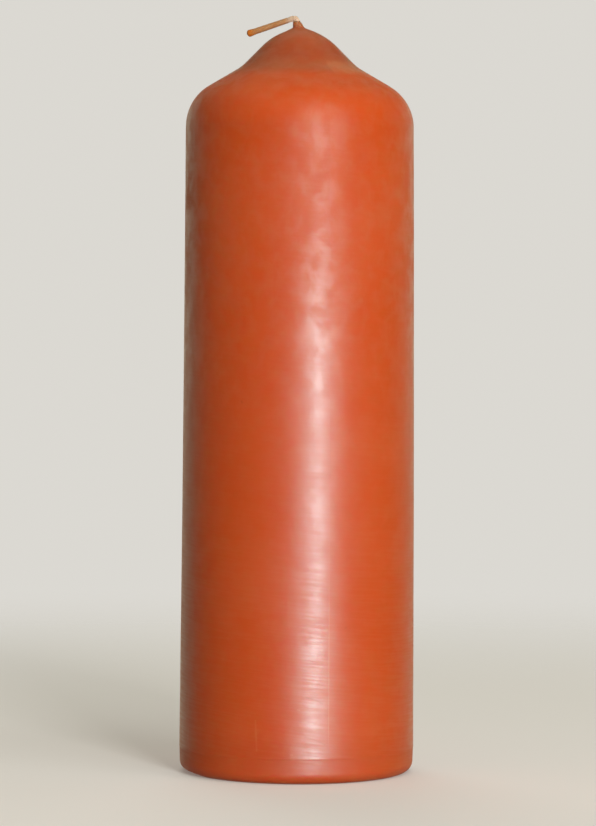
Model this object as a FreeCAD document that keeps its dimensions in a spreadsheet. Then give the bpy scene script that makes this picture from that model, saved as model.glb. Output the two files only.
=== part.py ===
import FreeCAD, Part
import math
import os
import Sketcher
from FreeCAD import Placement, Rotation, Vector

# Beeswax pillar candle: one casting of dyed wax round a braided wick.
#
# The candle stands on its base. Its origin is the centre of the base, +Z runs up the axis,
# and +X is to the right of someone who faces it. All lengths are millimetres.

# Driving sizes
# Heights are stacked: each rise is measured from the level before it, so that a taller or
# shorter side carries the whole top with it.
SIZES = {
    # The side, from the base up
    "foot_diameter": 60.0,        # widest, at the foot line
    "foot_line_height": 6.6,      # the line where the side turns in towards the base
    "foot_taper": 0.25,           # radius lost between the foot line and the base
    "foot_rounding": 3.0,         # rounding of the base edge
    "side_draft": 1.0,            # radius lost from the foot line up to the shoulder
    "shoulder_height": 171.1,     # corner of the side and the bell, before its rounding
    "shoulder_rounding": 12.1,
    # The bell top, from the shoulder to the tip
    "valley_rise": 8.4,           # hollow between the bell and the crown, above the shoulder
    "valley_diameter": 29.4,
    "valley_rounding": 11.4,
    "crown_rise": 7.35,           # corner of the crown above the hollow
    "crown_diameter": 14.8,
    "crown_rounding": 16.3,
    "tip_rise": 2.5,              # flat of the tip above the corner of the crown
    "tip_diameter": 3.6,
    # The wax drawn up the wick
    "nipple_depth": 1.2,          # its foot, sunk in the tip
    "nipple_foot_diameter": 4.3,
    "nipple_foot_shift": 0.35,    # its foot's centre, off the axis on the wick's side
    "nipple_rise": 1.4,           # its top above the tip
    "nipple_wall": 0.25,          # wax round the wick at the top of the nipple
    # The wick
    "wick_diameter": 1.65,
    "wick_turn": 158.0,           # compass direction of its bend, in degrees from +X
    "wick_lean_depth": 7.5,       # where it leaves the axis, below the tip
    "wick_lean_rounding": 25.0,
    "wick_bend_rise": 2.75,       # corner of its bend above the tip
    "wick_bend_out": 1.1,         # corner of its bend, off the axis
    "wick_bend_rounding": 1.05,   # radius of its centre line round the bend
    "wick_end_drop": 1.35,        # its cut end below the tip
    "wick_end_out": 14.5,         # its cut end, off the axis
    "wick_end_bevel": 0.3,        # wax bead's bevel round the cut end
    # The worn rim
    "rim_wear_turn": 180.0,       # compass direction of the wear, in degrees from +X
    "rim_wear_width": 8.0,        # its reach in from the widest radius
    "rim_wear_rise": 1.4,         # its height at the widest radius
}

BASE_TO_TIP = "Sizes.shoulder_height + Sizes.valley_rise + Sizes.crown_rise + Sizes.tip_rise"

doc = FreeCAD.newDocument("candle")
sheet = doc.addObject("Spreadsheet::Sheet", "Sizes")
for row, (name, size) in enumerate(SIZES.items(), start=1):
    sheet.set("A%d" % row, name)
    sheet.set("B%d" % row, str(size))
    sheet.setAlias("B%d" % row, name)
doc.recompute()


def origin_plane(body, role):
    """One of the three planes of a body's own origin."""
    return next(plane for plane in body.Origin.OriginFeatures if plane.Role == role)


def new_body(name):
    """A sub-part: its label is its file's name, and it stands in the candle's frame."""
    body = doc.addObject("PartDesign::Body", name)
    body.Label = name
    body.Placement = Placement(Vector(0, 0, 0), Rotation())
    return body


def upright_sketch(body, name, turn=None):
    """A sketch in a plane through the axis, with the axis as its vertical.

    The plane faces the front, or is turned about the axis to a compass direction.
    """
    sketch = body.newObject("Sketcher::SketchObject", name)
    sketch.AttachmentSupport = (origin_plane(body, "XZ_Plane"), [""])
    sketch.MapMode = "FlatFace"
    if turn:
        sketch.AttachmentOffset = Placement(Vector(0, 0, 0), Rotation(Vector(0, 1, 0), 1))
        sketch.setExpression("AttachmentOffset.Rotation.Angle", turn)
    return sketch


def circle_sketch(body, name, diameter, height=None, out=None, turn=None):
    """A level circle at a height, its centre on the axis or out from it at a compass direction."""
    sketch = body.newObject("Sketcher::SketchObject", name)
    sketch.AttachmentSupport = (origin_plane(body, "XY_Plane"), [""])
    sketch.MapMode = "FlatFace"
    if turn:
        sketch.AttachmentOffset = Placement(Vector(0, 0, 0), Rotation(Vector(0, 0, 1), 1))
        sketch.setExpression("AttachmentOffset.Rotation.Angle", turn)
    if height:
        sketch.setExpression("AttachmentOffset.Base.z", height)
    circle = sketch.addGeometry(Part.Circle(Vector(1, 0, 0), Vector(0, 0, 1), 1.0))
    size = sketch.addConstraint(Sketcher.Constraint("Diameter", circle, 2.0))
    sketch.setExpression("Constraints[%d]" % size, diameter)
    if out:
        sketch.addConstraint(Sketcher.Constraint("PointOnObject", circle, 3, -1))
        place = sketch.addConstraint(Sketcher.Constraint("DistanceX", -1, 1, circle, 3, 1.0))
        sketch.setExpression("Constraints[%d]" % place, out)
    else:
        sketch.addConstraint(Sketcher.Constraint("Coincident", circle, 3, -1, 1))
    return sketch


def add_corner(sketch, out, up):
    """A corner of an outline, at two distances from the sketch's origin; None is on the axis."""
    point = sketch.addGeometry(Part.Point(Vector(1, 1, 0)), True)
    for kind, axis, distance in (("DistanceX", -2, out), ("DistanceY", -1, up)):
        if distance is None:
            sketch.addConstraint(Sketcher.Constraint("PointOnObject", point, 1, axis))
        else:
            datum = sketch.addConstraint(Sketcher.Constraint(kind, -1, 1, point, 1, 1.0))
            sketch.setExpression("Constraints[%d]" % datum, distance)
    return point


def corner_ends(before, corner, after, radius):
    """Where a rounding of a corner leaves its two straight runs, and the arc between them."""
    back = (before - corner).normalize()
    onward = (after - corner).normalize()
    half_angle = back.getAngle(onward) / 2
    reach = radius / math.tan(half_angle)
    middle = (back + onward).normalize()
    centre = corner + middle * (radius / math.sin(half_angle))
    start = corner + back * reach
    end = corner + onward * reach
    return start, end, Part.Arc(start, centre - middle * radius, end)


def draw_outline(sketch, corners, closed):
    """Straight runs from corner to corner, with a tangent arc at each rounded one.

    A corner is its distance from the axis, its height, and the size that rounds it, or None.
    """
    points = [add_corner(sketch, out, up) for out, up, rounding in corners]
    doc.recompute()
    places = [sketch.getPoint(point, 1) for point in points]
    count = len(corners)
    leave = list(places)
    arrive = list(places)
    arcs = {}
    for i, (out, up, rounding) in enumerate(corners):
        if rounding:
            radius = SIZES[rounding]
            around = (places[i - 1], places[i], places[(i + 1) % count])
            arrive[i], leave[i], arc = corner_ends(*around, radius)
            arcs[i] = sketch.addGeometry(arc)
            size = sketch.addConstraint(Sketcher.Constraint("Radius", arcs[i], radius))
            sketch.setExpression("Constraints[%d]" % size, "Sizes." + rounding)
    runs = []
    for i in range(count if closed else count - 1):
        j = (i + 1) % count
        runs.append(sketch.addGeometry(Part.LineSegment(leave[i], arrive[j])))
        for corner, run_end in ((i, 1), (j, 2)):
            if corner not in arcs:
                ends = (runs[i], run_end, points[corner], 1)
                sketch.addConstraint(Sketcher.Constraint("Coincident", *ends))
                continue
            sketch.addConstraint(Sketcher.Constraint("PointOnObject", points[corner], 1, runs[i]))
            arc_end = arc_point_near(sketch, arcs[corner], leave[i] if run_end == 1 else arrive[j])
            ends = (runs[i], run_end, arcs[corner], arc_end)
            sketch.addConstraint(Sketcher.Constraint("Tangent", *ends))


def arc_point_near(sketch, arc, place):
    """Which end of an arc lies at a place: 1 for its start, 2 for its end."""
    gaps = [sketch.getPoint(arc, end).distanceToPoint(place) for end in (1, 2)]
    return 1 + gaps.index(min(gaps))


def sweep_wick(body, kind, name):
    """The wick's round section carried along its path, as solid or as channel."""
    path = upright_sketch(body, name + "_path", "Sizes.wick_turn")
    draw_outline(path, [
        (None, None, None),
        (None, BASE_TO_TIP + " - Sizes.wick_lean_depth", "wick_lean_rounding"),
        ("Sizes.wick_bend_out", BASE_TO_TIP + " + Sizes.wick_bend_rise", "wick_bend_rounding"),
        ("Sizes.wick_end_out", BASE_TO_TIP + " - Sizes.wick_end_drop", None),
    ], closed=False)
    section = circle_sketch(body, name + "_section", "Sizes.wick_diameter")
    sweep = body.newObject("PartDesign::" + kind, name)
    sweep.Profile = section
    sweep.Spine = path
    doc.recompute()
    return sweep


def make_wax_body():
    """The casting: a turned outline, the nipple, the channel of the wick and the worn rim."""
    body = new_body("wax_body")

    outline = upright_sketch(body, "half_section")
    draw_outline(outline, [
        (None, None, None),
        ("Sizes.foot_diameter / 2 - Sizes.foot_taper", None, "foot_rounding"),
        ("Sizes.foot_diameter / 2", "Sizes.foot_line_height", None),
        ("Sizes.foot_diameter / 2 - Sizes.side_draft", "Sizes.shoulder_height", "shoulder_rounding"),
        ("Sizes.valley_diameter / 2", "Sizes.shoulder_height + Sizes.valley_rise", "valley_rounding"),
        ("Sizes.crown_diameter / 2", BASE_TO_TIP + " - Sizes.tip_rise", "crown_rounding"),
        ("Sizes.tip_diameter / 2", BASE_TO_TIP, None),
        (None, BASE_TO_TIP, None),
    ], closed=True)
    turned = body.newObject("PartDesign::Revolution", "turned_form")
    turned.Profile = outline
    turned.ReferenceAxis = (outline, ["V_Axis"])
    turned.Angle = 360
    doc.recompute()

    # The nipple leans with the wick, so its top stays centred on the wick's rising run.
    lean_run = "(Sizes.wick_lean_depth + Sizes.nipple_rise)"
    lean_whole = "(Sizes.wick_lean_depth + Sizes.wick_bend_rise)"
    foot = circle_sketch(
        body, "nipple_foot", "Sizes.nipple_foot_diameter",
        BASE_TO_TIP + " - Sizes.nipple_depth", "Sizes.nipple_foot_shift", "Sizes.wick_turn")
    top = circle_sketch(
        body, "nipple_top", "Sizes.wick_diameter + 2 * Sizes.nipple_wall",
        BASE_TO_TIP + " + Sizes.nipple_rise",
        "Sizes.wick_bend_out * %s / %s" % (lean_run, lean_whole), "Sizes.wick_turn")
    nipple = body.newObject("PartDesign::AdditiveLoft", "nipple")
    nipple.Profile = foot
    nipple.Sections = [top]
    nipple.Ruled = True
    doc.recompute()

    solid_volume = body.Shape.Volume
    sweep_wick(body, "SubtractivePipe", "wick_channel")
    channelled_volume = body.Shape.Volume

    wear = upright_sketch(body, "rim_wear_section", "Sizes.rim_wear_turn")
    draw_outline(wear, [
        ("Sizes.foot_diameter / 2 - Sizes.rim_wear_width", None, None),
        ("Sizes.foot_diameter / 2", None, None),
        ("Sizes.foot_diameter / 2", "Sizes.rim_wear_rise", None),
    ], closed=True)
    worn = body.newObject("PartDesign::Pocket", "rim_wear")
    worn.Profile = wear
    worn.SideType = "Symmetric"
    worn.Type = "Length"
    worn.setExpression("Length", "Sizes.foot_diameter")
    doc.recompute()

    for feature, before, after in (
            ("wick_channel", solid_volume, channelled_volume),
            ("rim_wear", channelled_volume, body.Shape.Volume)):
        if not after < before:
            raise RuntimeError("the %s removed nothing" % feature)
    return body


def make_wick():
    """The braided wick as a round cord, with its cut end bevelled by a bead of wax."""
    body = new_body("wick")
    sweep = sweep_wick(body, "AdditivePipe", "cord")
    end_edge = max(
        range(len(sweep.Shape.Edges)),
        key=lambda i: math.hypot(*sweep.Shape.Edges[i].CenterOfMass[:2]))
    bead = body.newObject("PartDesign::Chamfer", "end_bead")
    bead.Base = (sweep, ["Edge%d" % (end_edge + 1)])
    bead.setExpression("Size", "Sizes.wick_end_bevel")
    doc.recompute()
    return body


parts = [make_wax_body(), make_wick()]
doc.recompute()

for item in doc.Objects:
    if "Invalid" in item.State or "Error" in item.State:
        raise RuntimeError("%s did not recompute" % item.Name)
for part in parts:
    if part.Shape.isNull() or not part.Shape.isValid():
        raise RuntimeError("%s has no valid shape" % part.Label)

os.makedirs("parts", exist_ok=True)
for part in parts:
    part.Shape.exportStep("parts/%s.step" % part.Label)
    box = part.Shape.optimalBoundingBox(False)
    print("%s: %.1f x %.1f x %.1f mm, %.0f cubic mm" % (
        part.Label, box.XLength, box.YLength, box.ZLength, part.Shape.Volume))
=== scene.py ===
import math

import bpy
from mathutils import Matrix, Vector


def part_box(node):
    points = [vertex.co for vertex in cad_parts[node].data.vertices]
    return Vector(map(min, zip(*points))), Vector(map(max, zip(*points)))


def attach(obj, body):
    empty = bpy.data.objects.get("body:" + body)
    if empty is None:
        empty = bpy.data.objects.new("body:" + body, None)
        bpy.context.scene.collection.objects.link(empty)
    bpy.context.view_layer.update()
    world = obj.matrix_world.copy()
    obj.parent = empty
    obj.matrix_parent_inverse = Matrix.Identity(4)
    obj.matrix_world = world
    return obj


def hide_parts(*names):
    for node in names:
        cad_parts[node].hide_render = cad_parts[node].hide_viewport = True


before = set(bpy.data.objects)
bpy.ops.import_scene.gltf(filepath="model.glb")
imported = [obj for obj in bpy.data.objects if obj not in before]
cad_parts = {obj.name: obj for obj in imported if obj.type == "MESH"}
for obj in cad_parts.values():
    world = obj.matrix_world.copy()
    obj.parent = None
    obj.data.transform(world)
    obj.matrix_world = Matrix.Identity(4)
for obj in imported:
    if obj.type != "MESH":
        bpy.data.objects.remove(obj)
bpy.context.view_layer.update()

bl_info = {
    "name": "Beeswax pillar candle",
    "version": (1, 0, 0),
    "blender": (4, 5, 0),
    "location": "3D View > Sidebar > Candle",
    "description": "Casts the wax, braids the wick and sets the stage",
    "category": "Add Mesh",
}

MM = 0.001
WAX_LOW, WAX_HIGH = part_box("wax_body")

# Where the wick's tail points, and how far its cut end reaches from the axis.
WICK_TURN = math.radians(158.0)
WICK_REACH = 14.5 * MM

# The picture is this many pixels tall, and the candle has this scale in it. The camera turns
# about one point near the axis and looks at another.
IMAGE_HEIGHT = 826.0
PIXELS_PER_METRE = 3923.0
CAMERA_PIVOT = (0.0, 0.0, 98.0 * MM)
CAMERA_AIM = (0.015 * MM, 0.0, 91.46 * MM)

# Each lamp's turn from the camera to the right in degrees; its distance from the axis, height,
# width, tallness and the height that it faces; and whether it lights only the gloss.
LAMPS = (
    ("key", 18.5, 1.08, 0.26, 0.26, 0.30, 95.0 * MM, False),
    ("top", 40.0, 0.47, 0.88, 0.40, 0.40, 95.0 * MM, False),
    ("rear", 192.0, 0.75, 0.85, 0.60, 0.60, 95.0 * MM, False),
    ("window", 20.5, 1.1, 0.40, 0.82, 2.0, 0.40, True),
    ("strip", 16.3, 0.26, 11 * MM, 22 * MM, 212 * MM, 11 * MM, True),
)
STRIP_ROLL = math.radians(-8.5)

# Heights on the wax between which a finish comes in, from none of it to all of it. Where one
# also goes out again, upwards, that is a second pair.
RUBBED = (75 * MM, 30 * MM)
SEAM_GLINT_HEIGHTS = (60 * MM, 30 * MM)
SEAM_STARTS = (7 * MM, 15 * MM)
BASE_DARKENING_HEIGHTS = (14 * MM, 5 * MM)
UNDER_FOOT_LINE = (7 * MM, 6 * MM)
CLOUDY = (80 * MM, 125 * MM)
BRIGHT_FROM = (60 * MM, 90 * MM)
BRIGHT_TO = (128 * MM, 106 * MM)
DULL_FROM = (106 * MM, 138 * MM)
DULL_TO = (162 * MM, 152 * MM)
HOLLOW_FROM = (177 * MM, 179 * MM)
HOLLOW_TO = (182 * MM, 179.5 * MM)
PALE_CROWN = (184 * MM, 188 * MM)
PALE_TIP = (189 * MM, 190 * MM)
THIN_WAX = (189.2 * MM, 190 * MM)

# The same along the wick from its foot, and for its bead back from the cut end.
COLLAR_TO = (190.9 * MM, 190.5 * MM)
BARE_FROM = (190.5 * MM, 191.0 * MM)
BARE_TO = (194.8 * MM, 193.0 * MM)
BEAD_FROM = (3.4 * MM, 0.8 * MM)

# Marks on the side. Each runs from a place to a place, given as degrees to the right of the
# front and millimetres up; then come its sag and width in millimetres, and its strength.
DARK_MARKS = (
    (4.5, 22.0, 12.6, 20.4, -0.2, 0.42, 0.24),
    (4.2, 12.1, 13.8, 10.2, -0.2, 0.42, 0.20),
    (-28.6, 95.3, -28.3, 95.1, 0.0, 0.60, 0.40),
    (24.0, 39.1, 24.3, 39.2, 0.0, 0.55, 0.25),
    (-2.0, 52.0, 1.5, 51.2, 0.0, 0.40, 0.12),
)
# Pale marks. The first three are painted glints where the highlight crosses the foot line and the faint
# lines under it; the last is a painted sheen in the hollow, the room's reflection; the rest are pale
# scratches and specks.
PALE_MARKS_AND_GLINTS = (
    (6.8, 6.65, 10.8, 6.65, 0.0, 0.34, 0.40),
    (0.6, 6.65, 13.5, 6.60, 0.0, 0.34, 0.16),
    (1.5, 5.2, 13.0, 5.2, 0.0, 0.35, 0.12),
    (-19.9, 15.9, -19.2, 8.5, 0.0, 0.55, 0.16),
    (-2.4, 7.6, -2.0, 7.6, 0.0, 0.70, 0.22),
    (0.6, 18.9, 1.6, 18.8, 0.0, 0.45, 0.20),
    (30.0, 179.0, 78.0, 178.7, 0.0, 3.4, 0.30),
)


def length(name, default, description):
    """A size that a user can change, in metres."""
    return bpy.props.FloatProperty(
        name=name, description=description, default=default, min=0.0, precision=5, unit="LENGTH")


def colour(name, default, description):
    """A colour that a user can change, as plain red, green and blue light."""
    return bpy.props.FloatVectorProperty(
        name=name, description=description, default=default, size=3, min=0.0, max=1.0,
        subtype="COLOR")


def amount(name, default, description, high=1.0):
    """A plain number that a user can change."""
    return bpy.props.FloatProperty(
        name=name, description=description, default=default, min=0.0, max=high)


class CandleWaxSizes(bpy.types.PropertyGroup):
    """Sizes and colours of the cast wax, from the base up."""

    foot_diameter: length("Foot diameter", WAX_HIGH.x - WAX_LOW.x, "Widest, at the foot line")
    foot_line_height: length("Foot line", 6.6 * MM, "Where the side turns in to the base")
    foot_taper: length("Foot taper", 0.25 * MM, "Radius lost from the foot line to the base")
    foot_rounding: length("Foot rounding", 3.0 * MM, "Rounding of the base edge")
    foot_bead: length("Foot bead", 0.022 * MM, "Height of the fine raised line at the foot line")
    side_draft: length("Draft", 1.0 * MM, "Radius lost from the foot line to the shoulder")
    shoulder_height: length("Shoulder height", 171.1 * MM, "Corner of the side and the bell")
    shoulder_rounding: length("Shoulder rounding", 12.1 * MM, "Rounding of the shoulder")
    valley_rise: length("Valley rise", 8.4 * MM, "Hollow above the shoulder's corner")
    valley_diameter: length("Valley diameter", 29.4 * MM, "Diameter at the hollow")
    valley_rounding: length("Valley rounding", 11.4 * MM, "Rounding of the hollow")
    # Crown start: where the crown's painted shade begins.
    crown_shade_start: length("Crown start", 176.4 * MM, "Height where the duller wax of the crown starts")
    crown_rise: length("Crown rise", 7.35 * MM, "Corner of the crown above the hollow")
    crown_diameter: length("Crown diameter", 14.8 * MM, "Diameter at the crown's corner")
    crown_rounding: length("Crown rounding", 16.3 * MM, "Rounding of the crown")
    tip_rise: length("Tip rise", 2.5 * MM, "Foot of the nipple above the crown's corner")
    tip_diameter: length("Tip diameter", 3.0 * MM, "Diameter at the foot of the nipple")
    nipple_diameter: length("Nipple diameter", 1.96 * MM, "Across the wax drawn up the wick")
    nipple_rounding: length("Nipple rounding", 0.45 * MM, "Rounding of its top")
    nipple_reach: length("Nipple reach", 1.52 * MM, "Its upright side under the wick, off the axis")
    nipple_lean: length("Nipple lean", 0.54 * MM, "How far its top leans towards the bend")
    nipple_shift: length("Nipple shift", 0.36 * MM, "How far the whole of it sits towards the bend")
    bell_shift: length("Bell shift", 0.15 * MM, "How far the cooled bell sits to the left")
    bow: length("Bow", 0.17 * MM, "How far the middle of the side bows to the right")
    wear_width: length("Worn rim width", 8.0 * MM, "Reach of the worn rim, on the left")
    wear_rise: length("Worn rim rise", 1.4 * MM, "Height of the worn rim")
    ripple: length("Ripple", 0.10 * MM, "Slow unevenness of the cast side")
    wax_colour: colour("Wax", (0.62, 0.083, 0.0070), "Dyed beeswax")
    # Crown: painted shade, a darker colour given to the crown.
    crown_painted_shade: colour("Crown", (0.41, 0.070, 0.014), "Duller wax of the crown")
    nipple_colour: colour("Nipple", (0.27, 0.095, 0.035), "Thin wax drawn up the wick")
    # Mark: dirt in the scratches; the same colour also darkens the side towards the base.
    mark_colour: colour("Mark", (0.30, 0.045, 0.008), "Dirt in a scratch and low on the side")
    # Bloom: pale frost, and the same colour paints the glints and sheen on the side.
    bloom_and_sheen_colour: colour("Bloom", (0.76, 0.32, 0.14), "Pale frost that beeswax grows")


class CandleWickSizes(bpy.types.PropertyGroup):
    """Sizes and colours of the braided wick."""

    diameter: length("Diameter", 1.65 * MM, "Across the braid")
    lean_depth: length("Lean depth", 7.5 * MM, "Where it leaves the axis, below the tip")
    bend_rise: length("Bend rise", 2.75 * MM, "Corner of its bend above the tip")
    bend_out: length("Bend out", 0.72 * MM, "Corner of its bend, off the axis")
    bend_rounding: length("Bend rounding", 1.05 * MM, "Radius of its centre line at the bend")
    end_drop: length("End drop", 1.35 * MM, "Cut end below the tip")
    braid_pitch: length("Braid pitch", 6.4 * MM, "One turn of a yarn round the wick")
    yarn_diameter: length("Yarn diameter", 0.46 * MM, "Across one yarn")
    cotton_colour: colour("Cotton", (0.80, 0.57, 0.395), "Bare fibres at the bend")
    cotton_shade: colour("Cotton shade", (0.78, 0.50, 0.325), "Darker fibres among the bare ones")
    soaked_colour: colour("Soaked", (0.55, 0.23, 0.08), "Waxed cotton of the tail")
    soaked_shade: colour("Soaked shade", (0.58, 0.29, 0.13), "Paler blotches of the tail")
    collar_colour: colour("Collar", (0.36, 0.15, 0.065), "Wax drawn up the wick")
    end_colour: colour("Cut end", (0.58, 0.17, 0.02), "Wax bead at the cut end")


class CandleStageSettings(bpy.types.PropertyGroup):
    """Camera, floor and light."""

    camera_distance: length("Camera distance", 1.020, "From the candle's axis")
    camera_elevation: bpy.props.FloatProperty(
        name="Camera elevation", description="How far the camera looks down",
        default=math.radians(2.0), subtype="ANGLE")
    camera_roll: bpy.props.FloatProperty(
        name="Camera roll", description="How far the candle leans in the picture",
        default=math.radians(0.316), subtype="ANGLE")
    floor_colour: colour("Floor", (0.71, 0.69, 0.645), "Pale studio floor and background")
    key_power: amount("Key lamp", 10.4, "Power of the soft lamp at the front, in watts", 100.0)
    top_power: amount("Top lamp", 1.6, "Power of the soft lamp overhead, in watts", 100.0)
    rear_power: amount("Rear lamp", 2.6, "Power of the soft lamp behind, in watts", 100.0)
    window_power: amount(
        "Window", 13.4, "Power of the wide lamp that only gloss shows, in watts", 100.0)
    strip_power: amount(
        "Strip lamp", 1.1, "Power of the narrow lamp that only gloss shows, in watts", 100.0)
    window_colour: colour("Window colour", (0.80, 1.0, 0.84), "Colour of the wide lamp")
    strip_colour: colour("Strip colour", (0.55, 0.86, 0.92), "Colour of the narrow lamp")
    room_colour: colour("Room colour", (1.0, 0.93, 0.68), "Colour of the light from the room")
    floor_glow: amount("Floor glow", 0.22, "How far the floor is lit towards the background")
    fill_strength: amount("Fill", 0.14, "Strength of the light from the front of the room")
    sky_strength: amount("Ceiling", 0.14, "Strength of the light from a pale ceiling")
    back_strength: amount("Back", 0.60, "Strength of the light from the pale backdrop")


class NodeBuilder:
    """Adds nodes to a tree in few words: a number or colour is set, a socket is linked."""

    def __init__(self, tree):
        self.tree = tree

    def set_input(self, socket, value):
        """Links a socket to another, or gives it a plain value."""
        if isinstance(value, bpy.types.NodeSocket):
            self.tree.links.new(value, socket)
        else:
            socket.default_value = value

    def add(self, kind, inputs=None, **settings):
        """A node with its settings and its inputs, which are named or numbered."""
        node = self.tree.nodes.new(kind)
        for name, value in settings.items():
            setattr(node, name, value)
        for name, value in (inputs or {}).items():
            self.set_input(node.inputs[name], value)
        return node

    def math(self, operation, *values, clamp=False):
        """The result of arithmetic on one, two or three numbers."""
        node = self.add("ShaderNodeMath", operation=operation, use_clamp=clamp)
        for socket, value in zip(node.inputs, values):
            self.set_input(socket, value)
        return node.outputs[0]

    def product(self, *values):
        """Several numbers multiplied, from first to last."""
        result = values[0]
        for value in values[1:]:
            result = self.math("MULTIPLY", result, value)
        return result

    def total(self, start, *terms):
        """A first number, with others added to it, each times its weight."""
        result = start
        for value, weight in terms:
            result = self.math("MULTIPLY_ADD", value, weight, result)
        return result

    def vector_math(self, operation, *values, scale=None):
        """The result of arithmetic on vectors."""
        node = self.add("ShaderNodeVectorMath", operation=operation)
        for socket, value in zip(node.inputs, values):
            self.set_input(socket, value)
        if scale is not None:
            self.set_input(node.inputs["Scale"], scale)
        return node.outputs["Value" if operation in ("LENGTH", "DISTANCE", "DOT_PRODUCT") else "Vector"]

    def ramp(self, value, low, high, to_low=0.0, to_high=1.0, smooth=True):
        """A number carried from one range to another, eased at both ends."""
        node = self.add(
            "ShaderNodeMapRange",
            {"Value": value, "From Min": low, "From Max": high, "To Min": to_low, "To Max": to_high},
            interpolation_type="SMOOTHSTEP" if smooth else "LINEAR", clamp=True)
        return node.outputs["Result"]

    def noise(self, vector, scale, detail=2.0, roughness=0.5, distortion=0.0):
        """Soft noise, about 0.5 on average. A larger scale makes it finer."""
        node = self.add(
            "ShaderNodeTexNoise",
            {"Vector": vector, "Scale": scale, "Detail": detail, "Roughness": roughness,
             "Distortion": distortion})
        return node.outputs[0]

    def parts(self, vector):
        """The three numbers of a vector."""
        return self.add("ShaderNodeSeparateXYZ", {0: vector}).outputs

    def vector(self, x, y, z):
        """A vector of three numbers."""
        return self.add("ShaderNodeCombineXYZ", {0: x, 1: y, 2: z}).outputs[0]

    def mix(self, share, first, second):
        """Two colours mixed by a share."""
        node = self.add("ShaderNodeMix", data_type="RGBA")
        self.set_input(node.inputs[0], share)
        self.set_input(node.inputs[6], first)
        self.set_input(node.inputs[7], second)
        return node.outputs[2]


def new_group(name, kind, inputs, outputs):
    """A node group with named inputs and outputs, and the builder that fills it."""
    tree = bpy.data.node_groups.new(name, kind)
    for label, socket_type, value in inputs:
        socket = tree.interface.new_socket(label, in_out="INPUT", socket_type=socket_type)
        if value is not None:
            socket.default_value = value
    for label, socket_type in outputs:
        tree.interface.new_socket(label, in_out="OUTPUT", socket_type=socket_type)
    build = NodeBuilder(tree)
    given = build.add("NodeGroupInput").outputs
    result = build.add("NodeGroupOutput")
    return tree, build, given, result


def set_modifier_inputs(modifier, values):
    """Gives a Geometry Nodes modifier its named inputs."""
    identifiers = {
        item.name: item.identifier
        for item in modifier.node_group.interface.items_tree
        if item.item_type == "SOCKET" and item.in_out == "INPUT"}
    for name, value in values.items():
        modifier[identifiers[name]] = value


def grown_piece(name, outline, tree, values):
    """A plain mesh that a Geometry Nodes tree grows from a line of corners.

    Each corner is its place and the radius that rounds it.
    """
    line = bpy.data.meshes.new(name + "_line")
    count = len(outline)
    line.from_pydata([corner for corner, rounding in outline],
                     [(i, i + 1) for i in range(count - 1)], [])
    attribute = line.attributes.new("rounding", "FLOAT", "POINT")
    attribute.data.foreach_set("value", [rounding for corner, rounding in outline])
    piece = bpy.data.objects.new(name, line)
    bpy.context.scene.collection.objects.link(piece)
    modifier = piece.modifiers.new("Grow", "NODES")
    modifier.node_group = tree
    set_modifier_inputs(modifier, values)
    evaluated = piece.evaluated_get(bpy.context.evaluated_depsgraph_get())
    mesh = bpy.data.meshes.new_from_object(evaluated)
    piece.modifiers.remove(modifier)
    piece.data = mesh
    mesh.name = name
    bpy.data.meshes.remove(line)
    return piece


def dress(piece, node):
    """Puts a finished piece on the candle in place of its CAD node."""
    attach(piece, "root")
    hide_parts(node)


def new_material(name):
    """An empty node material, with its builder and its output node."""
    material = bpy.data.materials.new(name)
    material.use_nodes = True
    material.node_tree.nodes.clear()
    build = NodeBuilder(material.node_tree)
    return material, build, build.add("ShaderNodeOutputMaterial")


def rounded_line(build, geometry, steps, spacing):
    """A line of corners as a curve, rounded by each corner's own radius and evenly divided."""
    curve = build.add("GeometryNodeMeshToCurve", {"Mesh": geometry}).outputs[0]
    rounding = build.add(
        "GeometryNodeInputNamedAttribute", {"Name": "rounding"}, data_type="FLOAT").outputs[0]
    rounded = build.add(
        "GeometryNodeFilletCurve",
        {"Curve": curve, "Radius": rounding, "Count": steps, "Limit Radius": True},
        mode="POLY").outputs[0]
    place = build.add("GeometryNodeInputPosition").outputs[0]
    index = build.add("GeometryNodeInputIndex").outputs[0]
    following = build.add(
        "GeometryNodeFieldAtIndex",
        {"Index": build.math("ADD", index, 1.0), "Value": place},
        data_type="FLOAT_VECTOR", domain="POINT").outputs[0]
    gap = build.vector_math("DISTANCE", place, following)
    cuts = build.math("FLOOR", build.math("DIVIDE", gap, spacing))
    return build.add("GeometryNodeSubdivideCurve", {"Curve": rounded, "Cuts": cuts}).outputs[0]


def tube(build, curve, sides, radius, scale=1.0):
    """A closed tube round a curve, its radius times a scale that may change along it."""
    ring = build.add(
        "GeometryNodeCurvePrimitiveCircle", {"Resolution": sides, "Radius": radius}).outputs[0]
    return build.add(
        "GeometryNodeCurveToMesh",
        {"Curve": curve, "Profile Curve": ring, "Scale": scale, "Fill Caps": True}).outputs[0]


def finish_form(build, form, material, result):
    """Smooths a form, gives it its material and hands it out of its tree."""
    form = build.add("GeometryNodeSetShadeSmooth", {"Geometry": form}).outputs[0]
    form = build.add("GeometryNodeRealizeInstances", {"Geometry": form}).outputs[0]
    form = build.add(
        "GeometryNodeSetMaterial", {"Geometry": form, "Material": material}).outputs[0]
    build.set_input(result.inputs["Geometry"], form)


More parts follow.
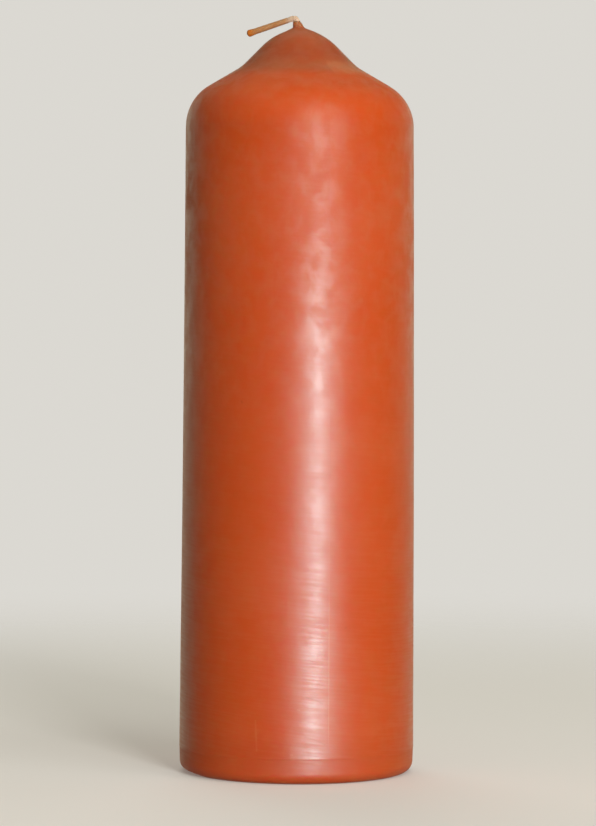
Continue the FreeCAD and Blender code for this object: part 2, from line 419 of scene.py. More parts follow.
def turned_wax_tree(material):
    """Turns the half section about the axis, then leans, wears and ripples it."""
    tree, build, given, result = new_group(
        "Turned wax", "GeometryNodeTree",
        [("Geometry", "NodeSocketGeometry", None),
         ("Around", "NodeSocketInt", 288),
         ("Spacing", "NodeSocketFloat", 1.2 * MM),
         ("Tip height", "NodeSocketFloat", 0.189),
         ("Nipple reach", "NodeSocketFloat", 1.52 * MM),
         ("Nipple lean", "NodeSocketFloat", 0.54 * MM),
         ("Nipple shift", "NodeSocketFloat", 0.36 * MM),
         ("Lean turn", "NodeSocketFloat", WICK_TURN),
         ("Bell shift", "NodeSocketFloat", 0.15 * MM),
         ("Bell start", "NodeSocketFloat", 0.165),
         ("Bow", "NodeSocketFloat", 0.17 * MM),
         ("Ripple", "NodeSocketFloat", 0.1 * MM),
         ("Foot radius", "NodeSocketFloat", 0.030),
         ("Wear width", "NodeSocketFloat", 8 * MM),
         ("Wear rise", "NodeSocketFloat", 1.4 * MM)],
        [("Geometry", "NodeSocketGeometry")])

    arc_steps = 12
    weld = 1e-6
    section = rounded_line(build, given["Geometry"], arc_steps, given["Spacing"])
    rows = build.add(
        "GeometryNodeAttributeDomainSize", {"Geometry": section}, component="CURVE").outputs[0]
    grid = build.add(
        "GeometryNodeMeshGrid",
        {"Size X": 1.0, "Size Y": 1.0, "Vertices X": build.math("ADD", given["Around"], 1.0),
         "Vertices Y": rows}).outputs["Mesh"]
    across = build.parts(build.add("GeometryNodeInputPosition").outputs[0])
    angle = build.product(build.math("ADD", across["X"], 0.5), math.tau)
    last_row = build.math("SUBTRACT", rows, 1.0)
    row = build.math("ROUND", build.product(build.math("ADD", across["Y"], 0.5), last_row))
    at_row = build.add(
        "GeometryNodeSampleIndex",
        {"Geometry": section, "Value": build.add("GeometryNodeInputPosition").outputs[0],
         "Index": row},
        data_type="FLOAT_VECTOR", domain="POINT").outputs[0]
    turned = build.add(
        "ShaderNodeVectorRotate", {"Vector": at_row, "Angle": angle},
        rotation_type="Z_AXIS").outputs[0]
    form = build.add("GeometryNodeSetPosition", {"Geometry": grid, "Position": turned}).outputs[0]
    form = build.add("GeometryNodeMergeByDistance", {"Geometry": form, "Distance": weld}).outputs[0]

    place = build.add("GeometryNodeInputPosition").outputs[0]
    x, y, z = build.parts(place)
    radius = build.vector_math("LENGTH", build.vector(x, y, 0.0))

    # The slow unevenness of the casting, and the fine one of its skin, both inward.
    slow_scale = 38.0
    fine_scale = 240.0
    slow = build.math("SUBTRACT", build.noise(place, slow_scale), 1.0)
    fine = build.math("SUBTRACT", build.noise(place, fine_scale), 1.0)
    swell = build.total(slow, (fine, 0.16))
    off_axis = build.ramp(radius, 2 * MM, 12 * MM)
    off_base = build.ramp(z, 0.0, 4 * MM)
    swell = build.product(swell, build.product(off_axis, off_base))
    normal = build.add("GeometryNodeInputNormal").outputs[0]
    ripple = build.vector_math(
        "SCALE", normal, scale=build.product(swell, given["Ripple"]))

    # The nipple leans with the wick, so the side under the wick stands upright. The bell sits
    # a little to the left and the side bows.
    nipple_run = 1 * MM
    bell_run = 14 * MM
    tip = given["Tip height"]
    lean = build.math("SUBTRACT", given["Nipple reach"], radius)
    lean = build.math("MINIMUM", build.math("MAXIMUM", lean, 0.0), given["Nipple lean"])
    lean = build.math("ADD", lean, given["Nipple shift"])
    lean = build.product(
        lean, build.ramp(z, build.math("SUBTRACT", tip, nipple_run), tip))
    bell = build.product(
        given["Bell shift"],
        build.ramp(z, given["Bell start"], build.math("ADD", given["Bell start"], bell_run)))
    lean_x = build.product(lean, build.math("COSINE", given["Lean turn"]))
    lean_y = build.product(lean, build.math("SINE", given["Lean turn"]))
    on_rise = build.product(bell, build.ramp(radius, 1.5 * MM, 7 * MM))
    arch = build.math("SINE", build.product(z, build.math("DIVIDE", math.pi, tip)))
    arch = build.product(build.math("MAXIMUM", arch, 0.0), given["Bow"])
    shift_x = build.math("SUBTRACT", build.math("ADD", lean_x, arch), on_rise)
    moved = build.vector(shift_x, lean_y, 0.0)

    # The worn rim: a rough slant that rises to the left, and small nicks round the base edge.
    nick_scale = 420.0
    nick_depth = 0.35 * MM
    grain = build.math("SUBTRACT", build.noise(place, nick_scale, detail=3.0), 0.5)
    inward = build.math("SUBTRACT", given["Foot radius"], given["Wear width"])
    reach = build.math("SUBTRACT", build.product(x, -1.0), inward)
    slant = build.product(
        reach, build.math("DIVIDE", given["Wear rise"], given["Wear width"]))
    slant = build.total(slant, (grain, nick_depth))
    slant = build.math("MINIMUM", slant, given["Wear rise"])
    at_foot = build.ramp(z, 5 * MM, 3 * MM)
    lifted = build.math("SUBTRACT", build.math("MAXIMUM", slant, z), z)
    lifted = build.product(lifted, at_foot)
    worn = build.vector(0.0, 0.0, lifted)

    offset = build.vector_math("ADD", build.vector_math("ADD", ripple, moved), worn)
    form = build.add("GeometryNodeSetPosition", {"Geometry": form, "Offset": offset}).outputs[0]
    finish_form(build, form, material, result)
    return tree


def braided_wick_tree(material):
    """Eight yarns plaited round a waxed core, along the wick's path."""
    tree, build, given, result = new_group(
        "Braided wick", "GeometryNodeTree",
        [("Geometry", "NodeSocketGeometry", None),
         ("Spacing", "NodeSocketFloat", 0.2 * MM),
         ("Radius", "NodeSocketFloat", 0.85 * MM),
         ("Yarn radius", "NodeSocketFloat", 0.23 * MM),
         ("Pitch", "NodeSocketFloat", 6.4 * MM),
         ("Neck", "NodeSocketFloat", 0.90),
         ("Bare start", "NodeSocketFloat", 0.1908),
         ("Bare end", "NodeSocketFloat", 0.1938)],
        [("Geometry", "NodeSocketGeometry")])

    arc_steps = 16
    undivided = 1.0
    yarn_count = 8
    pairs = yarn_count / 2
    hair_count = 9
    hair_twist = 1.6
    spring_seed = 4
    way_seed = 9
    line = rounded_line(build, given["Geometry"], arc_steps, undivided)
    line = build.add(
        "GeometryNodeResampleCurve", {"Curve": line, "Length": given["Spacing"]},
        mode="LENGTH").outputs[0]
    along = build.add("GeometryNodeSplineParameter").outputs["Length"]
    whole = build.add("GeometryNodeSplineLength").outputs["Length"]
    left = build.math("SUBTRACT", whole, along)
    for name, value in (("along", along), ("to_end", left)):
        line = build.add(
            "GeometryNodeStoreNamedAttribute", {"Geometry": line, "Name": name, "Value": value},
            data_type="FLOAT", domain="POINT").outputs[0]

    # The wick is pulled thin at the bend and thickens again towards its cut end.
    start = given["Bare start"]
    below = build.ramp(
        along, build.math("SUBTRACT", start, 4 * MM), build.math("SUBTRACT", start, 1 * MM),
        1.0, given["Neck"])
    beyond = build.ramp(left, 13 * MM, 3 * MM, given["Neck"], 1.0)
    radius = build.product(given["Radius"], build.math("MAXIMUM", below, beyond))
    yarn_radius = build.product(given["Yarn radius"], build.math("MAXIMUM", below, beyond))

    # Bare cotton at the bend, wax over the yarns elsewhere, and a bead at the cut end.
    edge = 1.2 * MM
    lump_scale = 700.0
    bare = build.product(
        build.ramp(along, build.math("SUBTRACT", start, edge), start),
        build.ramp(along, build.math("ADD", given["Bare end"], edge), given["Bare end"]))
    place = build.add("GeometryNodeInputPosition").outputs[0]
    lumps = build.math("SUBTRACT", build.noise(place, lump_scale), 0.5)
    bead = build.ramp(left, 2.4 * MM, 0.6 * MM)
    closing = build.math("SQRT", build.ramp(left, 0.0, 0.45 * MM, 0.12, 1.0, smooth=False))
    coat = build.total(0.94, (bare, -0.07), (bead, 0.15), (lumps, 0.10))
    coat_radius = build.product(coat, radius, closing)
    core = tube(build, line, 20, 1.0, coat_radius)

    # A copy of the line for each yarn, moved to its helix: odd ones turn the other way.
    copies = build.add(
        "GeometryNodeDuplicateElements", {"Geometry": line, "Amount": yarn_count}, domain="SPLINE")
    number = copies.outputs["Duplicate Index"]
    odd = build.math("MODULO", number, 2.0)
    hand = build.math("MULTIPLY_ADD", odd, -2.0, 1.0)
    quarter = build.product(build.math("FLOOR", build.math("DIVIDE", number, 2.0)), math.tau / pairs)
    travel = build.product(along, build.math("DIVIDE", math.tau, given["Pitch"]))
    turn = build.math("MULTIPLY_ADD", travel, hand, quarter)
    crossing = build.product(build.math("COSINE", build.product(travel, pairs)), hand)
    weave = 0.06 * MM
    helix = build.math("SUBTRACT", build.math("SUBTRACT", radius, yarn_radius), weave)
    helix = build.product(build.math("MULTIPLY_ADD", crossing, weave, helix), closing)
    tangent = build.add("GeometryNodeInputTangent").outputs[0]
    normal = build.add("GeometryNodeInputNormal").outputs[0]
    across = build.vector_math("CROSS_PRODUCT", tangent, normal)
    side = build.vector_math("SCALE", normal, scale=build.math("COSINE", turn))
    up = build.vector_math("SCALE", across, scale=build.math("SINE", turn))
    offset = build.vector_math("SCALE", build.vector_math("ADD", side, up), scale=helix)
    yarns = build.add(
        "GeometryNodeSetPosition", {"Geometry": copies.outputs["Geometry"], "Offset": offset}).outputs[0]
    yarns = tube(build, yarns, 7, 1.0, build.product(yarn_radius, closing))

    # Loose fibres that spring off the bend and come back to it.
    hair_end = 0.5 * MM
    hair_start = 0.52 * MM
    hair_radius = 0.035 * MM
    hairs = build.add(
        "GeometryNodeTrimCurve",
        {"Curve": line, 4: build.math("SUBTRACT", start, hair_end),
         5: build.math("ADD", given["Bare end"], hair_end)}, mode="LENGTH").outputs[0]
    hairs = build.add(
        "GeometryNodeDuplicateElements", {"Geometry": hairs, "Amount": hair_count}, domain="SPLINE")
    number = hairs.outputs["Duplicate Index"]
    share = build.add("GeometryNodeSplineParameter").outputs["Factor"]
    spring = build.add(
        "FunctionNodeRandomValue", {2: 0.05 * MM, 3: 0.30 * MM, "ID": number, "Seed": spring_seed},
        data_type="FLOAT").outputs[1]
    way = build.add(
        "FunctionNodeRandomValue", {2: 0.0, 3: math.tau, "ID": number, "Seed": way_seed},
        data_type="FLOAT").outputs[1]
    way = build.total(way, (share, hair_twist))
    arch = build.math("SINE", build.product(share, math.pi))
    off = build.total(hair_start, (arch, spring))
    hair_offset = build.vector_math(
        "ADD",
        build.vector_math("SCALE", normal, scale=build.product(off, build.math("COSINE", way))),
        build.vector_math("SCALE", across, scale=build.product(off, build.math("SINE", way))))
    hairs = build.add(
        "GeometryNodeSetPosition",
        {"Geometry": hairs.outputs["Geometry"], "Offset": hair_offset}).outputs[0]
    hairs = tube(build, hairs, 5, hair_radius)

    joined = build.add("GeometryNodeJoinGeometry")
    for part in (core, yarns, hairs):
        tree.links.new(part, joined.inputs[0])
    finish_form(build, joined.outputs[0], material, result)
    return tree


def bloom_group():
    """Cloudy pale frost: broad patches, small clouds of polish and fine mottling."""
    group, build, given, result = new_group(
        "Bloom", "ShaderNodeTree",
        [("Vector", "NodeSocketVector", None),
         ("Patch scale", "NodeSocketFloat", 40.0),
         ("Cloud scale", "NodeSocketFloat", 215.0),
         ("Mottle scale", "NodeSocketFloat", 320.0)],
        [("Patches", "NodeSocketFloat"), ("Clouds", "NodeSocketFloat"), ("Mottle", "NodeSocketFloat")])
    place = given["Vector"]
    patches = build.noise(
        place, given["Patch scale"], detail=4.0, roughness=0.6, distortion=0.4)
    tall = build.vector_math("MULTIPLY", place, (1.0, 1.0, 0.85))
    clouds = build.noise(tall, given["Cloud scale"], detail=4.0, roughness=0.55, distortion=0.3)
    mottle = build.noise(place, given["Mottle scale"], detail=3.0, roughness=0.6)
    for name, value, low, high in (
            ("Patches", patches, 0.42, 0.72),
            ("Clouds", clouds, 0.36, 0.68),
            ("Mottle", mottle, 0.35, 0.75)):
        build.set_input(result.inputs[name], build.ramp(value, low, high))
    return group


def scratch_group():
    """Fine, nearly level scratches from handling."""
    group, build, given, result = new_group(
        "Level scratches", "ShaderNodeTree",
        [("Vector", "NodeSocketVector", None),
         ("Slope", "NodeSocketFloat", 0.10),
         ("Length scale", "NodeSocketFloat", 110.0),
         ("Width scale", "NodeSocketFloat", 1900.0)],
        [("Mask", "NodeSocketFloat")])
    x, y, z = build.parts(given["Vector"])
    tilted = build.vector(x, y, build.math("MULTIPLY_ADD", x, given["Slope"], z))
    stretch = build.vector(given["Length scale"], given["Length scale"], given["Width scale"])
    lines = build.noise(
        build.vector_math("MULTIPLY", tilted, stretch), 1.0, detail=3.0, roughness=0.6)
    build.set_input(result.inputs["Mask"], build.ramp(lines, 0.38, 0.64))
    return group


def seam_group():
    """The two upright lines that the halves of the mould leave, as a mask."""
    group, build, given, result = new_group(
        "Mould seam", "ShaderNodeTree",
        [("Vector", "NodeSocketVector", None),
         ("Turn", "NodeSocketFloat", math.radians(15.7)),
         ("Width", "NodeSocketFloat", 0.42 * MM)],
        [("Mask", "NodeSocketFloat")])
    x, y, z = build.parts(given["Vector"])
    turn = given["Turn"]
    along = build.product(x, build.math("COSINE", turn))
    off = build.math("MULTIPLY_ADD", y, build.math("SINE", turn), along)
    off = build.math("ABSOLUTE", off)
    half = build.product(given["Width"], 0.5)
    build.set_input(
        result.inputs["Mask"], build.ramp(off, half, build.product(half, 0.3)))
    return group


def mark_group():
    """One mark on the side, a handling mark or a painted glint: a thin bent line between two places, or
    a speck.

    A place is the way round from the front and the height, both in metres.
    """
    group, build, given, result = new_group(
        "Handling mark", "ShaderNodeTree",
        [("Side", "NodeSocketVector", None),
         ("Start", "NodeSocketVector", None),
         ("End", "NodeSocketVector", None),
         ("Sag", "NodeSocketFloat", 0.0),
         ("Width", "NodeSocketFloat", 0.3 * MM)],
        [("Mask", "NodeSocketFloat")])
    run = build.vector_math("SUBTRACT", given["End"], given["Start"])
    out = build.vector_math("SUBTRACT", given["Side"], given["Start"])
    share = build.math(
        "DIVIDE", build.vector_math("DOT_PRODUCT", out, run),
        build.math("MAXIMUM", build.vector_math("DOT_PRODUCT", run, run), 1e-9), clamp=True)
    bend = build.math("SINE", build.product(share, math.pi))
    nearest = build.vector_math("SCALE", run, scale=share)
    nearest = build.vector_math(
        "SUBTRACT", nearest, build.vector(0.0, build.product(bend, given["Sag"]), 0.0))
    off = build.vector_math("DISTANCE", out, nearest)
    half = build.product(given["Width"], 0.5)
    outer = build.product(half, 1.4)
    inner = build.product(half, 0.4)
    build.set_input(result.inputs["Mask"], build.ramp(off, outer, inner))
    return group


def joined_marks(build, group, side, foot_radius, lines):
    """The masks of several marks on the side, joined."""
    joined = 0.0
    for turn, low, end_turn, end_low, sag, width, strength in lines:
        start = (math.radians(turn) * foot_radius, low * MM, 0.0)
        end = (math.radians(end_turn) * foot_radius, end_low * MM, 0.0)
        mark = build.add(
            "ShaderNodeGroup",
            {"Side": side, "Start": start, "End": end, "Sag": sag * MM, "Width": width * MM},
            node_tree=group).outputs["Mask"]
        joined = build.math("MAXIMUM", build.product(mark, strength), joined)
    return joined


def wax_material(sizes):
    """Dyed beeswax: satin, slightly translucent, with bloom, fine scratches and handling marks."""
    material, build, output = new_material("dyed_beeswax")
    place = build.add("ShaderNodeTexCoord").outputs["Object"]
    bloom = build.add("ShaderNodeGroup", {"Vector": place}, node_tree=bloom_group())
    patches = bloom.outputs["Patches"]
    clouds = bloom.outputs["Clouds"]
    mottle = bloom.outputs["Mottle"]
    scratches = build.add("ShaderNodeGroup", {"Vector": place}, node_tree=scratch_group())
    seam = build.add("ShaderNodeGroup", {"Vector": place}, node_tree=seam_group()).outputs["Mask"]
    x, y, height = build.parts(place)

    # The lower half has been handled and rubbed the most.
    streaks = build.product(scratches.outputs["Mask"], build.ramp(height, *RUBBED, 0.45, 1.0))
    # The mould seam is painted paler where it crosses the highlight low on the side: a painted glint on
    # the real seam.
    seam_glint_share = build.product(
        seam, build.ramp(height, *SEAM_GLINT_HEIGHTS, 0.04, 0.26),
        build.ramp(height, *SEAM_STARTS, 0.1, 1.0))

    # Marks of their own, each from one place on the side to another; some pale ones are painted glints
    # and sheen.
    foot_radius = sizes.foot_diameter / 2
    way_round = build.math("ARCTAN2", x, build.product(y, -1.0))
    side = build.vector(build.product(way_round, foot_radius), height, 0.0)
    group = mark_group()
    dark_marks = joined_marks(build, group, side, foot_radius, DARK_MARKS)
    pale_marks_and_glints = joined_marks(build, group, side, foot_radius, PALE_MARKS_AND_GLINTS)

    # The bloom is thickest under the shoulder, where it dulls the gloss.
    dull = build.product(
        build.ramp(height, *DULL_FROM), build.ramp(height, *DULL_TO),
        build.total(0.6, (patches, 0.4)))
    # The pale band in the hollow is partly bloom and partly a painted sheen, the room's reflection at a
    # grazing angle.
    hollow = build.product(build.ramp(height, *HOLLOW_FROM), build.ramp(height, *HOLLOW_TO))
    share = build.total(
        0.0, (patches, 0.05), (mottle, 0.03), (streaks, 0.02), (dull, 0.02), (hollow, 0.10),
        (build.ramp(height, *PALE_CROWN), 0.10), (build.ramp(height, *PALE_TIP), 0.10))
    share = build.math("MAXIMUM", share, build.math("MAXIMUM", seam_glint_share, pale_marks_and_glints))

    # The crown is painted darker, a painted shade, and the dye is thin in the nipple; the side grows
    # darker towards the base.
    dye_and_crown_shade = build.mix(
        build.ramp(height, sizes.crown_shade_start, sizes.crown_shade_start + 3 * MM),
        (*sizes.wax_colour, 1.0), (*sizes.crown_painted_shade, 1.0))
    dye_and_crown_shade = build.mix(
        build.ramp(height, *THIN_WAX, 0.0, 0.8), dye_and_crown_shade, (*sizes.nipple_colour, 1.0))
    base = build.mix(share, dye_and_crown_shade, (*sizes.bloom_and_sheen_colour, 1.0))
    # The colour grows darker towards the base, and the dark marks darken it too.
    base_darkening = build.total(build.ramp(height, *BASE_DARKENING_HEIGHTS, 0.0, 0.16), (dark_marks, 0.5))
    base = build.mix(base_darkening, base, (*sizes.mark_colour, 1.0))

    roughness = build.total(
        0.42, (patches, 0.06), (mottle, 0.05), (dull, 0.10), (streaks, -0.04),
        (build.ramp(height, *UNDER_FOOT_LINE), 0.08))

    # Clouds and scratches break the polish that the gloss comes from.
    bright = build.product(build.ramp(height, *BRIGHT_FROM), build.ramp(height, *BRIGHT_TO))
    polish = build.total(
        0.22, (clouds, build.ramp(height, *CLOUDY, 0.22, 0.74)), (dull, -0.16), (bright, 0.16),
        (streaks, 0.20))
    polish = build.product(
        polish, build.ramp(height, *UNDER_FOOT_LINE, 1.0, 0.4),
        build.total(1.0, (dark_marks, -0.8)))

    relief = build.total(
        0.0, (streaks, -0.38), (mottle, 0.35), (seam, 0.4), (dark_marks, -1.5))
    bump = build.add(
        "ShaderNodeBump", {"Height": relief, "Strength": 0.25, "Distance": 0.05 * MM}).outputs[0]

    shader = build.add(
        "ShaderNodeBsdfPrincipled",
        {"Base Color": base, "Roughness": roughness, "Normal": bump, "IOR": 1.45,
         "Specular IOR Level": 0.36, "Subsurface Weight": 1.0,
         "Subsurface Radius": (1.0, 0.35, 0.20), "Subsurface Scale": 4.0 * MM,
         "Coat Weight": polish, "Coat Roughness": 0.335})
    build.set_input(output.inputs["Surface"], shader.outputs[0])
    return material


def wick_material(sizes):
    """Waxed cotton: bare pale fibres at the bend, tan where the wax has soaked in."""
    material, build, output = new_material("waxed_cotton")
    along = build.add("ShaderNodeAttribute", attribute_name="along").outputs["Fac"]
    to_end = build.add("ShaderNodeAttribute", attribute_name="to_end").outputs["Fac"]
    place = build.add("ShaderNodeTexCoord").outputs["Object"]
    strand_scale = 2600.0
    blotch_scale = 520.0
    strands = build.noise(place, strand_scale)
    blotches = build.noise(place, blotch_scale, detail=3.0)
    bare = build.product(build.ramp(along, *BARE_FROM), build.ramp(along, *BARE_TO))
    soaked = build.mix(
        build.ramp(blotches, 0.3, 0.7), (*sizes.soaked_colour, 1.0), (*sizes.soaked_shade, 1.0))
    waxed = build.mix(build.ramp(to_end, *BEAD_FROM), soaked, (*sizes.end_colour, 1.0))
    cotton = build.mix(
        build.ramp(strands, 0.3, 0.7), (*sizes.cotton_colour, 1.0), (*sizes.cotton_shade, 1.0))
    base = build.mix(bare, waxed, cotton)
    base = build.mix(build.ramp(along, *COLLAR_TO), base, (*sizes.collar_colour, 1.0))
    roughness = build.total(0.45, (bare, 0.35))
    bump = build.add(
        "ShaderNodeBump", {"Height": strands, "Strength": 0.25, "Distance": 0.04 * MM}).outputs[0]
    shader = build.add(
        "ShaderNodeBsdfPrincipled",
        {"Base Color": base, "Roughness": roughness, "Normal": bump, "IOR": 1.45,
         "Subsurface Weight": 0.2, "Subsurface Radius": (1.0, 0.5, 0.3),
         "Subsurface Scale": 0.5 * MM})
    build.set_input(output.inputs["Surface"], shader.outputs[0])
    return material


def wax_outline(wax, wick):
    """Corners of the wax's half section, from the middle of the base to the top of the nipple."""
    inset = 0.01 * MM
    drawn_up = 0.25 * MM
    foot = wax.foot_diameter / 2 - inset
    shoulder = foot - wax.side_draft
    valley_height = wax.shoulder_height + wax.valley_rise
    crown_height = valley_height + wax.crown_rise
    foot_of_nipple = crown_height + wax.tip_rise
    nipple = wax.nipple_diameter / 2
    top_height = WAX_HIGH.z + drawn_up
    dimple = 0.5 * MM
    line = 0.45 * MM
    corners = [
        (0.0, dimple, 0.0),
        (wick.diameter / 2 + 0.1 * MM, dimple, 0.2 * MM),
        (wick.diameter / 2 + 0.7 * MM, 0.0, 0.4 * MM),
        (foot - wax.foot_taper, 0.0, wax.foot_rounding),
        (foot - wax.foot_bead - line * 0.1, wax.foot_line_height - line, 0.4 * MM),
        (foot, wax.foot_line_height, 0.3 * MM),
        (foot - wax.foot_bead, wax.foot_line_height + line, 0.4 * MM),
        (shoulder, wax.shoulder_height, wax.shoulder_rounding),
        (wax.valley_diameter / 2, valley_height, wax.valley_rounding),
        (wax.crown_diameter / 2, crown_height, wax.crown_rounding),
        (wax.tip_diameter / 2, foot_of_nipple, 0.6 * MM),
        (nipple, top_height, wax.nipple_rounding),
        (wick.diameter / 4, top_height, 0.0),
        (0.0, top_height - 0.2 * MM, 0.0),
    ]
    return [(Vector((out, 0.0, up)), rounding) for out, up, rounding in corners]


def tip_height(wax):
    """Height of the foot of the nipple, from which the wick's heights are measured."""
    return wax.shoulder_height + wax.valley_rise + wax.crown_rise + wax.tip_rise


def wick_corners(wax, wick):
    """Corners of the wick's centre line: up the axis, over in its bend and down its tail."""
    tip = tip_height(wax)
    foot = 0.15 * MM
    lean_rounding = 25.0 * MM
    corners = [
        (0.0, foot, 0.0),
        (0.0, tip - wick.lean_depth, lean_rounding),
        (wick.bend_out, tip + wick.bend_rise, wick.bend_rounding),
        (WICK_REACH, tip - wick.end_drop, 0.0),
    ]
    turn = Vector((math.cos(WICK_TURN), math.sin(WICK_TURN), 0.0))
    return [(turn * out + Vector((0.0, 0.0, up)), rounding) for out, up, rounding in corners]


class CANDLE_OT_cast_wax(bpy.types.Operator):
    """Cast the wax: turn its section, then lean, wear and ripple it"""

    bl_idname = "candle.cast_wax"
    bl_label = "Cast the wax"

    def execute(self, context):
        wax = context.scene.candle_wax
        wick = context.scene.candle_wick
        piece = grown_piece(
            "cast_wax", wax_outline(wax, wick), turned_wax_tree(wax_material(wax)),
            {"Tip height": tip_height(wax),
             "Nipple reach": wax.nipple_reach,
             "Nipple lean": wax.nipple_lean,
             "Nipple shift": wax.nipple_shift,
             "Bow": wax.bow,
             "Bell shift": wax.bell_shift,
             "Bell start": wax.shoulder_height - wax.shoulder_rounding / 2,
             "Ripple": wax.ripple,
             "Foot radius": wax.foot_diameter / 2,
             "Wear width": wax.wear_width,
             "Wear rise": wax.wear_rise})
        dress(piece, "wax_body")
        return {"FINISHED"}


class CANDLE_OT_braid_wick(bpy.types.Operator):
    """Braid the wick along its path"""

    bl_idname = "candle.braid_wick"
    bl_label = "Braid the wick"

    def execute(self, context):
        wax = context.scene.candle_wax
        wick = context.scene.candle_wick
        piece = grown_piece(
            "braided_wick", wick_corners(wax, wick), braided_wick_tree(wick_material(wick)),
            {"Radius": wick.diameter / 2,
             "Yarn radius": wick.yarn_diameter / 2,
             "Pitch": wick.braid_pitch})
        dress(piece, "wick")
        return {"FINISHED"}


def look_at(lamp, target):
    """Turns a lamp or a camera to face a point."""
    lamp.rotation_euler = (Vector(target) - lamp.location).to_track_quat("-Z", "Y").to_euler()


def make_lamp(stage, name, turn, distance, height, width, tall, aim_height, gloss_only):
    """A rectangular lamp, which lights either only the gloss or only the matt colour."""
    data = bpy.data.lights.new(name, "AREA")
    data.shape = "RECTANGLE"
    data.size = width
    data.size_y = tall
    data.energy = getattr(stage, name + "_power")
    lamp = bpy.data.objects.new(name, data)
    angle = math.radians(turn)
    lamp.location = (distance * math.sin(angle), -distance * math.cos(angle), height)
    look_at(lamp, (0.0, 0.0, aim_height))
    bpy.context.scene.collection.objects.link(lamp)
    lamp.visible_camera = False
    lamp.visible_diffuse = not gloss_only
    lamp.visible_glossy = gloss_only
    return lamp


def make_camera(stage):
    """The camera in front of the candle, a little above its middle."""
    data = bpy.data.cameras.new("camera")
    data.sensor_width = 36.0
    data.lens = PIXELS_PER_METRE * stage.camera_distance / IMAGE_HEIGHT * data.sensor_width
    camera = bpy.data.objects.new("camera", data)
    tilt = stage.camera_elevation
    away = Vector((0.0, -math.cos(tilt), math.sin(tilt)))
    camera.location = Vector(CAMERA_PIVOT) + away * stage.camera_distance
    look_at(camera, CAMERA_AIM)
    camera.rotation_euler.rotate_axis("Z", stage.camera_roll)
    data.clip_start = 0.05
    data.clip_end = 20.0
    bpy.context.scene.collection.objects.link(camera)
    bpy.context.scene.camera = camera


def floor_material(stage):
    """Pale floor that keeps the candle's shadow, fades out behind and is clear from below."""
    material, build, output = new_material("pale_floor")
    place = build.add("ShaderNodeTexCoord").outputs["Object"]
    distance = build.vector_math("LENGTH", place)
    fade = build.ramp(distance, 0.16, 0.55)
    diffuse = build.add("ShaderNodeBsdfDiffuse", {"Color": (*stage.floor_colour, 1.0)}).outputs[0]
    glow = build.add(
        "ShaderNodeEmission",
        {"Color": (*stage.floor_colour, 1.0), "Strength": stage.floor_glow}).outputs[0]
    seen = build.add("ShaderNodeLightPath").outputs["Is Camera Ray"]
    lit = build.add("ShaderNodeAddShader", {0: diffuse, 1: glow}).outputs[0]
    clear = build.add("ShaderNodeBsdfTransparent").outputs[0]
    share = build.product(seen, build.math("SUBTRACT", 1.0, fade))
    bounce = build.ramp(distance, 44 * MM, 32 * MM, 0.0, 0.24)
    share = build.math("MAXIMUM", share, bounce)
    below = build.add("ShaderNodeNewGeometry").outputs["Backfacing"]
    share = build.product(share, build.math("SUBTRACT", 1.0, below))
    faded = build.add("ShaderNodeMixShader", {0: share, 1: clear, 2: lit}).outputs[0]
    build.set_input(output.inputs["Surface"], faded)
    return material


def make_floor(stage):
    """A round floor at the candle's base."""
    sides = 96
    radius = 0.6
    mesh = bpy.data.meshes.new("floor")
    level = -0.02 * MM
    rim = [(radius * math.cos(math.tau * i / sides), radius * math.sin(math.tau * i / sides), level)
           for i in range(sides)]
    mesh.from_pydata(rim, [], [tuple(range(sides))])
    mesh.materials.append(floor_material(stage))
    floor = bpy.data.objects.new("floor", mesh)
    bpy.context.scene.collection.objects.link(floor)


def make_world(stage):
    """Light from all round, and the pale background that the camera sees."""
    world = bpy.data.worlds.new("studio")
    bpy.context.scene.world = world
    world.use_nodes = True
    world.node_tree.nodes.clear()
    build = NodeBuilder(world.node_tree)
    direction = build.parts(build.add("ShaderNodeTexCoord").outputs["Generated"])
    level = build.ramp(build.math("ABSOLUTE", direction["Z"]), 0.45, 0.15)
    behind = build.product(build.ramp(direction["Y"], 0.2, 0.95), level)
    ceiling = build.ramp(direction["Z"], 0.35, 0.85)
    strength = build.total(
        stage.fill_strength, (behind, stage.back_strength - stage.fill_strength),
        (ceiling, stage.sky_strength))
    fill = build.add(
        "ShaderNodeBackground", {"Color": (*stage.room_colour, 1.0), "Strength": strength})
    seen = build.add(
        "ShaderNodeBackground", {"Color": (*stage.floor_colour, 1.0), "Strength": 1.0})
    camera_ray = build.add("ShaderNodeLightPath").outputs["Is Camera Ray"]
    mixed = build.add(
        "ShaderNodeMixShader", {0: camera_ray, 1: fill.outputs[0], 2: seen.outputs[0]}).outputs[0]
    output = build.add("ShaderNodeOutputWorld")
    build.set_input(output.inputs["Surface"], mixed)


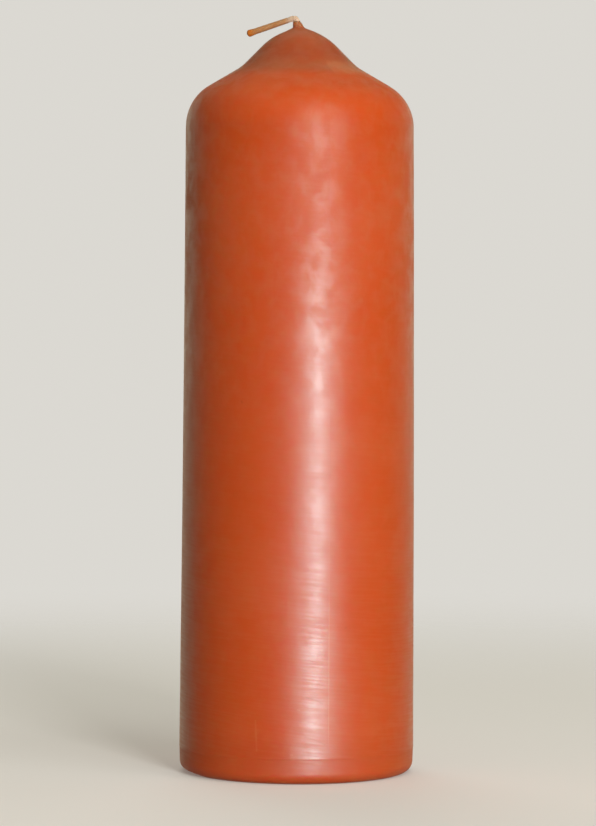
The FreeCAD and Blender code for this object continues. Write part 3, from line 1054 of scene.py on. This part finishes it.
class CANDLE_OT_set_stage(bpy.types.Operator):
    """Set the camera, the floor and the lamps"""

    bl_idname = "candle.set_stage"
    bl_label = "Set the stage"

    def execute(self, context):
        stage = context.scene.candle_stage
        context.scene.view_settings.view_transform = "Standard"
        make_camera(stage)
        make_floor(stage)
        make_world(stage)
        lamps = {row[0]: make_lamp(stage, *row) for row in LAMPS}
        lamps["window"].data.color = stage.window_colour
        lamps["strip"].data.color = stage.strip_colour
        lamps["strip"].rotation_euler.rotate_axis("Z", STRIP_ROLL)
        return {"FINISHED"}


class CANDLE_PT_panel(bpy.types.Panel):
    """The candle's sizes, colours and steps"""

    bl_idname = "CANDLE_PT_panel"
    bl_label = "Beeswax pillar candle"
    bl_space_type = "VIEW_3D"
    bl_region_type = "UI"
    bl_category = "Candle"

    def draw(self, context):
        scene = context.scene
        for label, settings, operator in (
                ("Wax", scene.candle_wax, "candle.cast_wax"),
                ("Wick", scene.candle_wick, "candle.braid_wick"),
                ("Stage", scene.candle_stage, "candle.set_stage")):
            box = self.layout.box()
            box.label(text=label)
            for name in settings.__annotations__:
                box.prop(settings, name)
            box.operator(operator)


CLASSES = (
    CandleWaxSizes,
    CandleWickSizes,
    CandleStageSettings,
    CANDLE_OT_cast_wax,
    CANDLE_OT_braid_wick,
    CANDLE_OT_set_stage,
    CANDLE_PT_panel,
)


def register():
    """Adds the candle's settings and steps to Blender."""
    for item in CLASSES:
        bpy.utils.register_class(item)
    bpy.types.Scene.candle_wax = bpy.props.PointerProperty(type=CandleWaxSizes)
    bpy.types.Scene.candle_wick = bpy.props.PointerProperty(type=CandleWickSizes)
    bpy.types.Scene.candle_stage = bpy.props.PointerProperty(type=CandleStageSettings)


def unregister():
    """Takes them out again."""
    for name in ("candle_wax", "candle_wick", "candle_stage"):
        delattr(bpy.types.Scene, name)
    for item in reversed(CLASSES):
        bpy.utils.unregister_class(item)


def main():
    """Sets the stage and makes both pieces."""
    register()
    bpy.ops.candle.set_stage()
    bpy.ops.candle.cast_wax()
    bpy.ops.candle.braid_wick()


if __name__ == "__main__":
    main()
